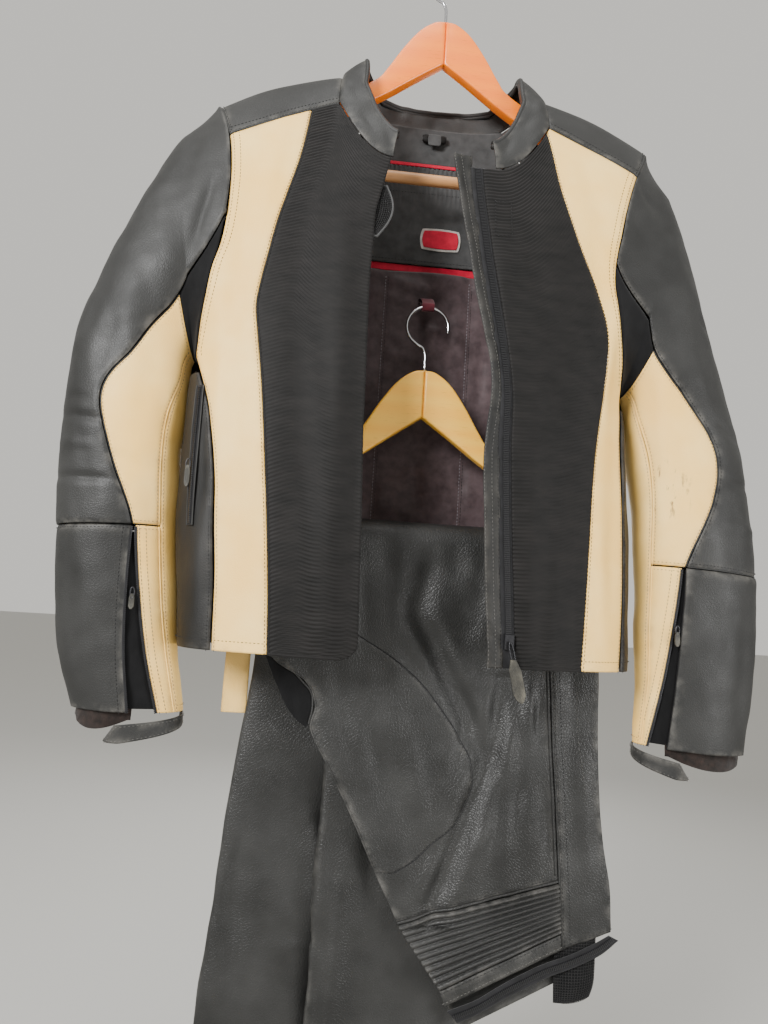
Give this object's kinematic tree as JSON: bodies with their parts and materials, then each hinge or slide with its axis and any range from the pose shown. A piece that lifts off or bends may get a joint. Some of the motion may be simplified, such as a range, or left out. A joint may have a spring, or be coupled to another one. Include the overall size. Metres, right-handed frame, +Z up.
{
  "type": "motorcycle race suit on hangers",
  "caption": "Open black and cream leather race jacket on a wooden hanger, with leather race trousers folded over the bar of a hanger hung inside it.",
  "frame": {"origin": "inside of the upper hanger hook's bend, where the suit hangs", "axes": "+Z up, front faces -Y, the wearer's left is at +X"},
  "size_m": [0.7019, 0.1469, 1.2035],
  "materials": {
    "black_leather": "worn grained black leather",
    "chrome": "bright chrome wire",
    "cream_leather": "worn smooth cream leather",
    "dowel": "tan wooden dowel",
    "grey_facing": "dark grey woven facing",
    "gunmetal": "dark zip metal",
    "maroon_label": "woven maroon ribbon",
    "net_mesh": "dark net mesh",
    "orange_wood": "orange varnished wood",
    "pale_wood": "pale varnished wood",
    "red_trim": "red piping and tape",
    "ribbed_textile": "finely ribbed black textile",
    "satin_lining": "dark aubergine satin",
    "stretch_knit": "matt black stretch knit",
    "zip_tape": "black zip tape and teeth"
  },
  "bodies": {
    "suit": {"front_zip_slider": "gunmetal", "hanger_lower_bar": "dowel", "hanger_lower_hook": "chrome", "hanger_lower_wood": "pale_wood", "hanger_upper_bar": "dowel", "hanger_upper_hook": "chrome", "hanger_upper_wood": "orange_wood", "jacket_back": "black_leather", "jacket_back_facing": "grey_facing", "jacket_collar": "black_leather", "jacket_cream_front_left": "cream_leather", "jacket_cream_front_right": "cream_leather", "jacket_hang_loop": "ribbed_textile", "jacket_hook_label": "maroon_label", "jacket_lining": "satin_lining", "jacket_lining_stripe": "red_trim", "jacket_mesh_flap": "net_mesh", "jacket_neck_facing": "grey_facing", "jacket_neck_piping": "red_trim", "jacket_side_left": "black_leather", "jacket_side_right": "black_leather", "jacket_textile_front_left": "ribbed_textile", "jacket_textile_front_right": "ribbed_textile", "jacket_yoke_left": "black_leather", "jacket_yoke_right": "black_leather", "jacket_zip_flap": "black_leather", "jacket_zip_tape": "zip_tape", "pocket_zip": "zip_tape", "sleeve_left_cream_cuff": "cream_leather", "sleeve_left_cream_front": "cream_leather", "sleeve_left_cream_under": "cream_leather", "sleeve_left_forearm": "black_leather", "sleeve_left_gusset": "stretch_knit", "sleeve_left_stretch": "stretch_knit", "sleeve_left_tab": "black_leather", "sleeve_left_upper": "black_leather", "sleeve_right_cream_cuff": "cream_leather", "sleeve_right_cream_front": "cream_leather", "sleeve_right_cream_under": "cream_leather", "sleeve_right_forearm": "black_leather", "sleeve_right_gusset": "stretch_knit", "sleeve_right_stretch": "stretch_knit", "sleeve_right_tab": "black_leather", "sleeve_right_upper": "black_leather", "trousers_accordion": "black_leather", "trousers_cream_stripe": "cream_leather", "trousers_folded_layers": "black_leather", "trousers_hip": "black_leather", "trousers_leg_back": "black_leather", "trousers_leg_front": "black_leather", "trousers_mesh_lining": "net_mesh", "trousers_seat": "black_leather", "trousers_seat_patch": "black_leather", "trousers_stretch_crotch": "stretch_knit", "trousers_waist_zip": "zip_tape", "trousers_waistband": "black_leather"},
    "front_pull": {"front_zip_pull": "gunmetal"},
    "right_cuff_pull": {"sleeve_right_zip_pull": "gunmetal"},
    "left_cuff_pull": {"sleeve_left_zip_pull": "gunmetal"},
    "pocket_pull": {"pocket_zip_pull": "gunmetal"}
  },
  "joints": [
    {"name": "front_pull_hinge", "type": "hinge", "parent": "suit", "child": "front_pull", "pos_m": [0.07663, -0.08713, -0.728], "axis": [-1, 0, 0], "range_deg": [0, 120]},
    {"name": "right_cuff_pull_hinge", "type": "hinge", "parent": "suit", "child": "right_cuff_pull", "pos_m": [-0.26284, -0.03689, -0.7], "axis": [-1, 0, 0], "range_deg": [0, 120]},
    {"name": "left_cuff_pull_hinge", "type": "hinge", "parent": "suit", "child": "left_cuff_pull", "pos_m": [0.25679, -0.0339, -0.705], "axis": [-1, 0, 0], "range_deg": [0, 120]},
    {"name": "pocket_pull_hinge", "type": "hinge", "parent": "suit", "child": "pocket_pull", "pos_m": [-0.22151, -0.05113, -0.58], "axis": [-1, 0, 0], "range_deg": [0, 120]}
  ]
}
